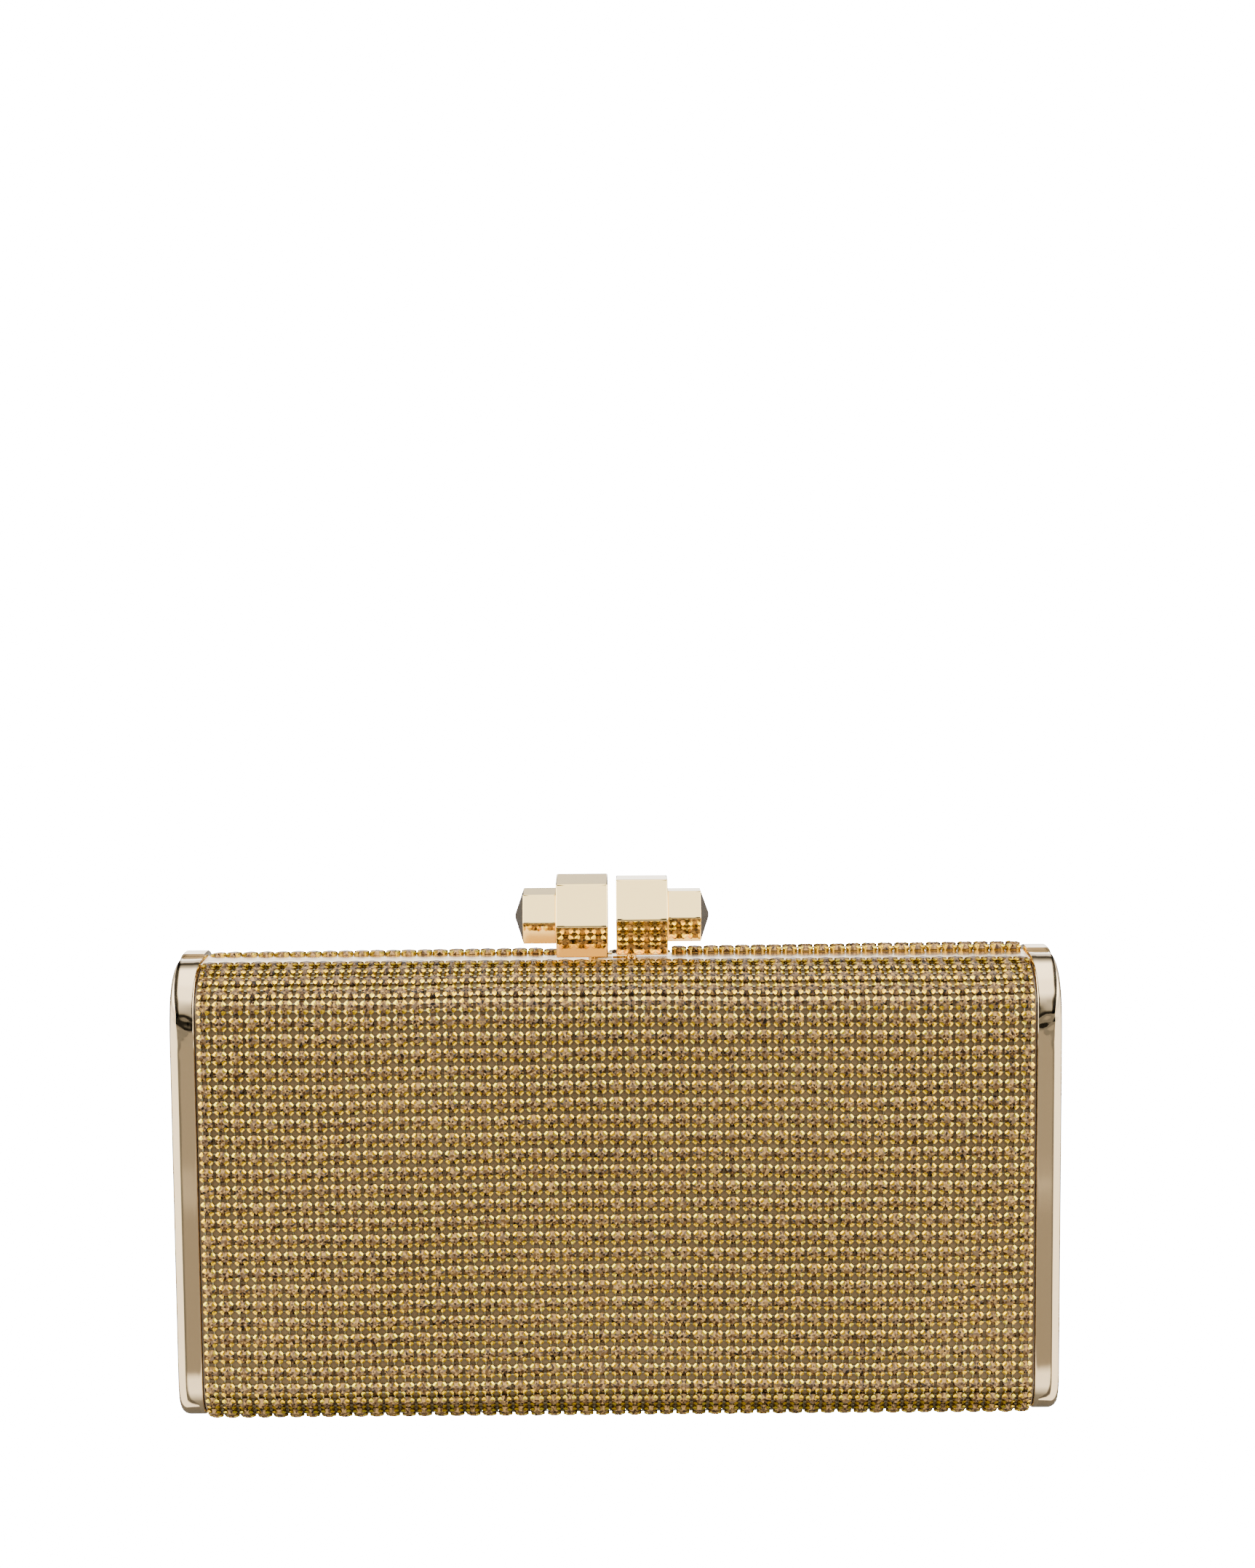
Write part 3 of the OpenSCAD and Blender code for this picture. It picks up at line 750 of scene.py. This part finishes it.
def plane(name, centre, width, depth, material, seen=True, bounced=True):
    """A level stage plane, with a say in which rays meet it."""
    x, y, z = centre
    data = bpy.data.meshes.new(name)
    corners = [(x + i * width / 2, y + j * depth / 2, z) for i, j in ((-1, -1), (1, -1), (1, 1), (-1, 1))]
    data.from_pydata(corners, [], [(0, 1, 2, 3)])
    data.materials.append(material)
    obj = bpy.data.objects.new(name, data)
    bpy.context.scene.collection.objects.link(obj)
    obj.visible_camera = seen
    obj.visible_diffuse = obj.visible_glossy = obj.visible_transmission = bounced
    obj.visible_shadow = bounced
    return obj


def ramp_node(tree, source, stops):
    """A colour ramp through the stops, each a grey or a colour at a position."""
    ramp = tree.nodes.new("ShaderNodeValToRGB")
    elements = ramp.color_ramp.elements
    while len(elements) < len(stops):
        elements.new(0.5)
    for element, (position, value) in zip(elements, stops):
        element.position = position
        element.color = (*value, 1) if isinstance(value, tuple) else (value, value, value, 1)
    tree.links.new(source, ramp.inputs["Fac"])
    return ramp.outputs["Color"]


def math_node(tree, operation, *values):
    """A math node; each value is a number or the output it comes from."""
    node = tree.nodes.new("ShaderNodeMath")
    node.operation = operation
    for socket, value in zip(node.inputs, values):
        if isinstance(value, (int, float)):
            socket.default_value = value
        else:
            tree.links.new(value, socket)
    return node.outputs[0]


def mix_node(tree, factor, first, second, blend_type="MIX"):
    """Two colours mixed by a factor, which is a number or an output."""
    node = tree.nodes.new("ShaderNodeMix")
    node.data_type, node.blend_type = "RGBA", blend_type
    if isinstance(factor, float):
        node.inputs[0].default_value = factor
    else:
        tree.links.new(factor, node.inputs[0])
    tree.links.new(first, node.inputs[6])
    tree.links.new(second, node.inputs[7])
    return node.outputs[2]


def range_node(tree, value, low, high, interpolation="LINEAR"):
    """The value brought from low..high to 0..1."""
    node = tree.nodes.new("ShaderNodeMapRange")
    node.interpolation_type = interpolation
    node.inputs["From Min"].default_value, node.inputs["From Max"].default_value = low, high
    tree.links.new(value, node.inputs["Value"])
    return node.outputs["Result"]


def coordinates(tree, kind):
    """The X, Y and Z of a texture coordinate."""
    where = tree.nodes.new("ShaderNodeTexCoord")
    split = tree.nodes.new("ShaderNodeSeparateXYZ")
    tree.links.new(where.outputs[kind], split.inputs[0])
    return split.outputs["X"], split.outputs["Y"], split.outputs["Z"]


ground = size[0][2]
FLOOR_DROP, BOUNCE_DROP = 0.06, 0.025   # both planes lie below the opened front half
WEDGE_END = 0.062                       # angle, in half turns, where the floor to the side begins

# what the camera sees: a plain pale floor
pale = principled("floor_pale", (0.9, 0.9, 0.9), 0.0, 0.7, Emission_Strength=24.0)
pale.node_tree.nodes["Principled BSDF"].inputs["Emission Color"].default_value = (1, 1, 1, 1)
plane("floor", (0, 0, ground - FLOOR_DROP), 30, 30, pale, bounced=False)

# what the polished metal mirrors: bands of floor out to the front and a pale patch near the bag, painted
# light and shade, with a painted shadow dark from just in front of the bag backwards
bounce = principled("floor_bounce", (0.8, 0.8, 0.8), 0.0, 0.8)
tree = bounce.node_tree
floor_x, floor_y, _ = coordinates(tree, "Object")
shade = ramp_node(tree, range_node(tree, floor_y, -1.9, 0.4), [
    (0.0, 0.01), (0.13, 0.02), (0.201, (0.088, 0.080, 0.067)), (0.678, (0.13, 0.115, 0.096)),
    (0.688, (0.26, 0.235, 0.20)), (0.703, (0.12, 0.105, 0.088)), (0.7717, (0.12, 0.105, 0.088)),
    (0.7743, (0.78, 0.76, 0.72)), (0.80, (0.85, 0.84, 0.83)), (0.813, 0.10), (1.0, 0.12)])
# seen from the end caps, the floor to the sides is bright beyond a narrow dark wedge, and dim behind
sideways = math_node(tree, "SUBTRACT", math_node(tree, "ABSOLUTE", floor_x), cap_hi[0] * MM - 0.001)
forward = math_node(tree, "MULTIPLY_ADD", floor_y, -1.0, cap_lo[1] * MM)
angle = math_node(tree, "DIVIDE", math_node(tree, "ARCTAN2", sideways, forward), math.pi)
wedge = ramp_node(tree, angle, [(0.0, 0.03), (0.10, 0.03), (0.125, (0.95, 0.93, 0.90)),
                                (0.60, (0.95, 0.93, 0.90)), (0.66, 0.08), (1.0, 0.08)])
beside = mix_node(tree, math_node(tree, "GREATER_THAN", angle, WEDGE_END), shade, wedge)
tree.links.new(beside, tree.nodes["Principled BSDF"].inputs["Base Color"])
plane("floor_bounce", (0, 0, ground - BOUNCE_DROP), 12, 12, bounce, seen=False)

# a soft tent: an arch from the front horizon over the top to the back, two side walls that are
# brighter higher up and dimmer behind, and a dark gap between the arch and each wall
world = bpy.data.worlds.new("studio")
bpy.context.scene.world = world
world.use_nodes = True
tree = world.node_tree
sky_x, sky_y, sky_z = coordinates(tree, "Generated")
turn = math_node(tree, "DIVIDE",
                 math_node(tree, "ARCTAN2", sky_z, math_node(tree, "MULTIPLY", sky_y, -1.0)), math.pi)
arch = ramp_node(tree, turn, [
    (0.0, 0.004), (0.015, 0.006), (0.03, 0.12), (0.10, 0.30), (0.19, 0.78), (0.38, 0.80),
    (0.45, 0.95), (0.60, 1.0), (0.68, 0.95), (0.75, 0.22), (0.81, 0.02), (0.845, 0.02), (0.86, 0.35),
    (0.91, 0.38), (0.93, 0.95), (1.0, 0.95)])
high = ramp_node(tree, sky_z, [(0.0, 0.5), (0.08, 0.55), (0.28, 1.4), (1.0, 1.4)])
behind = ramp_node(tree, sky_y, [(0.0, 1.0), (0.10, 1.0), (0.30, 0.2), (1.0, 0.2)])
walls = mix_node(tree, 1.0, high, behind, "MULTIPLY")
aside = math_node(tree, "ABSOLUTE", sky_x)
tent = mix_node(tree, range_node(tree, aside, 0.26, 0.40, "SMOOTHSTEP"), arch, walls)
gap = ramp_node(tree, aside, [(0.0, 1.0), (0.18, 1.0), (0.20, 0.02), (0.36, 0.02), (0.39, 1.0), (1.0, 1.0)])
background = tree.nodes["Background"]
background.inputs["Strength"].default_value = 4.1
tree.links.new(mix_node(tree, 1.0, tent, gap, "MULTIPLY"), background.inputs["Color"])
# the camera itself sees plain white
seen = tree.nodes.new("ShaderNodeBackground")
seen.inputs["Color"].default_value = (1, 1, 1, 1)
seen.inputs["Strength"].default_value = 26.0
either = tree.nodes.new("ShaderNodeMixShader")
tree.links.new(tree.nodes.new("ShaderNodeLightPath").outputs["Is Camera Ray"], either.inputs[0])
tree.links.new(background.outputs[0], either.inputs[1])
tree.links.new(seen.outputs[0], either.inputs[2])
tree.links.new(either.outputs[0], tree.nodes["World Output"].inputs["Surface"])

# ---------------------------------------------------------------- camera

CAMERA_AT = (0.0029, -0.589, 0.199)
TILT_DOWN, ROLL = 6, -0.45      # degrees
camera = bpy.data.cameras.new("camera")
camera.sensor_fit, camera.sensor_width, camera.lens = "AUTO", 36, 62.82
eye = bpy.data.objects.new("camera", camera)
eye.matrix_world = (Matrix.Translation(CAMERA_AT)
                    @ Matrix.Rotation(math.radians(90 - TILT_DOWN), 4, "X")
                    @ Matrix.Rotation(math.radians(ROLL), 4, "Z"))
bpy.context.scene.collection.objects.link(eye)
bpy.context.scene.camera = eye
